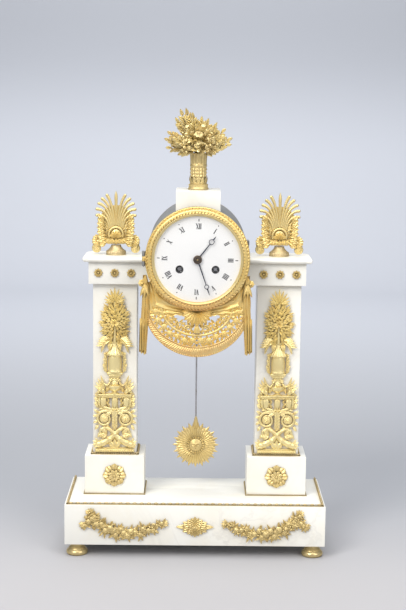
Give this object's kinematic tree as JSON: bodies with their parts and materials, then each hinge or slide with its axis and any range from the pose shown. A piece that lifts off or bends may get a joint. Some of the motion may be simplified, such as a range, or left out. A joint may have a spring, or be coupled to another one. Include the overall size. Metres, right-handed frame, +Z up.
{
  "type": "portico clock",
  "caption": "Mantel clock with a drum movement carried between two marble pillars on a marble base, gilt ornament mounts and a swinging sunburst pendulum.",
  "frame": {"origin": "middle of the footprint's box, at table level", "axes": "+Z up, -Y is the dial side, +X to the right of someone facing the dial"},
  "size_m": [0.29, 0.148, 0.4973],
  "materials": {
    "marble": "polished white marble, warm",
    "ormolu": "gilt bronze, chased, matt and burnished",
    "brass": "turned and lacquered",
    "steel": "drawn and polished",
    "drum_paint": "grey paint on sheet metal",
    "clear_glass": "polished, convex",
    "enamel": "white fired enamel",
    "blued_steel": "heat-blued"
  },
  "bodies": {
    "case": {"base_slab": "marble", "feet": "ormolu", "base_moulding": "ormolu", "garland_left": "ormolu", "garland_right": "ormolu", "base_patera": "ormolu", "plinth_left": "marble", "plinth_right": "marble", "pillar_mouldings": "ormolu", "pillar_rosettes": "ormolu", "shaft_left": "marble", "shaft_right": "marble", "trophy_left": "ormolu", "trophy_right": "ormolu", "frieze_left": "marble", "frieze_right": "marble", "cornice_left": "marble", "cornice_right": "marble", "palmette_left": "ormolu", "palmette_right": "ormolu", "palmette_stands": "ormolu", "pillar_rods": "steel", "drum_case": "drum_paint", "drum_bolts": "steel", "hinge_pins": "steel", "dial": "enamel", "apron": "ormolu", "drapery_left": "ormolu", "drapery_right": "ormolu", "top_block": "marble", "flower_vase": "ormolu", "bouquet": "ormolu", "front_plate": "brass", "back_plate": "brass", "plate_pillars": "brass", "movement_straps": "brass", "bell": "brass", "suspension_cock": "brass"},
    "bezel": {"bezel": "ormolu", "bezel_glass": "clear_glass"},
    "back_door": {"back_door": "brass"},
    "pendulum": {"pendulum_rod": "steel", "pendulum_bob": "ormolu"},
    "anchor": {"anchor": "steel"},
    "minute_hand": {"minute_hand": "blued_steel", "cannon_pinion": "brass"},
    "hour_hand": {"hour_hand": "blued_steel", "hour_wheel": "brass"},
    "minute_wheel": {"minute_wheel": "brass"},
    "third_wheel": {"third_wheel": "brass"},
    "centre_wheel": {"centre_wheel": "brass"},
    "escape_wheel": {"escape_wheel": "brass"},
    "going_barrel": {"going_barrel": "brass", "going_mainspring": "steel"},
    "going_arbor": {"going_arbor": "steel"},
    "strike_barrel": {"strike_barrel": "brass", "strike_mainspring": "steel"},
    "strike_arbor": {"strike_arbor": "steel"},
    "strike_wheel": {"strike_wheel": "brass"},
    "hammer": {"hammer": "steel"}
  },
  "joints": [
    {"name": "bezel_open", "type": "hinge", "parent": "case", "child": "bezel", "pos_m": [-0.0589, -0.0585, 0.3341], "axis": [0, 0, -1], "range_deg": [0, 115]},
    {"name": "back_door_open", "type": "hinge", "parent": "case", "child": "back_door", "pos_m": [0.0589, 0.0695, 0.3341], "axis": [0, 0, -1], "range_deg": [0, 100]},
    {"name": "pendulum_swing", "type": "hinge", "parent": "case", "child": "pendulum", "pos_m": [0, 0.013, 0.3721], "axis": [0, 1, 0], "range_deg": [-4, 4]},
    {"name": "crutch_swing", "type": "hinge", "parent": "case", "child": "anchor", "pos_m": [0, 0.003, 0.3721], "axis": [0, 1, 0], "range_deg": [-4, 4]},
    {"name": "minute_hand_turn", "type": "hinge", "parent": "case", "child": "minute_hand", "pos_m": [0, -0.057, 0.3341], "axis": [0, 1, 0], "continuous": true},
    {"name": "hour_hand_turn", "type": "hinge", "parent": "case", "child": "hour_hand", "pos_m": [0, -0.057, 0.3341], "axis": [0, 1, 0], "continuous": true},
    {"name": "minute_wheel_turn", "type": "hinge", "parent": "case", "child": "minute_wheel", "pos_m": [0, -0.052, 0.3461], "axis": [0, 1, 0], "continuous": true},
    {"name": "third_wheel_turn", "type": "hinge", "parent": "case", "child": "third_wheel", "pos_m": [-0.00957, -0.027, 0.34958], "axis": [0, 1, 0], "continuous": true},
    {"name": "centre_wheel_turn", "type": "hinge", "parent": "case", "child": "centre_wheel", "pos_m": [0, -0.027, 0.3341], "axis": [0, 1, 0], "continuous": true},
    {"name": "escape_wheel_turn", "type": "hinge", "parent": "case", "child": "escape_wheel", "pos_m": [0, -0.027, 0.3591], "axis": [0, 1, 0], "continuous": true},
    {"name": "going_barrel_turn", "type": "hinge", "parent": "case", "child": "going_barrel", "pos_m": [0.0195, -0.027, 0.3231], "axis": [0, 1, 0], "continuous": true},
    {"name": "going_winding", "type": "hinge", "parent": "case", "child": "going_arbor", "pos_m": [0.0195, -0.027, 0.3231], "axis": [0, 1, 0], "range_deg": [0, 1800]},
    {"name": "strike_barrel_turn", "type": "hinge", "parent": "case", "child": "strike_barrel", "pos_m": [-0.0195, -0.027, 0.3231], "axis": [0, 1, 0], "continuous": true},
    {"name": "strike_wheel_turn", "type": "hinge", "parent": "case", "child": "strike_wheel", "pos_m": [-0.03069, -0.027, 0.34249], "axis": [0, 1, 0], "continuous": true},
    {"name": "strike_winding", "type": "hinge", "parent": "case", "child": "strike_arbor", "pos_m": [-0.0195, -0.027, 0.3231], "axis": [0, 1, 0], "range_deg": [0, 1800]},
    {"name": "hammer_swing", "type": "hinge", "parent": "case", "child": "hammer", "pos_m": [-0.036, 0.003, 0.3551], "axis": [0, 1, 0], "range_deg": [-12, 5]}
  ],
  "couplings": [
    {"joint": "crutch_swing", "follows": "pendulum_swing", "ratio": 1},
    {"joint": "hour_hand_turn", "follows": "minute_hand_turn", "ratio": 0.083333},
    {"joint": "minute_wheel_turn", "follows": "minute_hand_turn", "ratio": -0.33333},
    {"joint": "centre_wheel_turn", "follows": "third_wheel_turn", "ratio": -0.083333},
    {"joint": "escape_wheel_turn", "follows": "third_wheel_turn", "ratio": -9.7143},
    {"joint": "going_barrel_turn", "follows": "third_wheel_turn", "ratio": 0.011905},
    {"joint": "strike_wheel_turn", "follows": "strike_barrel_turn", "ratio": -7}
  ]
}
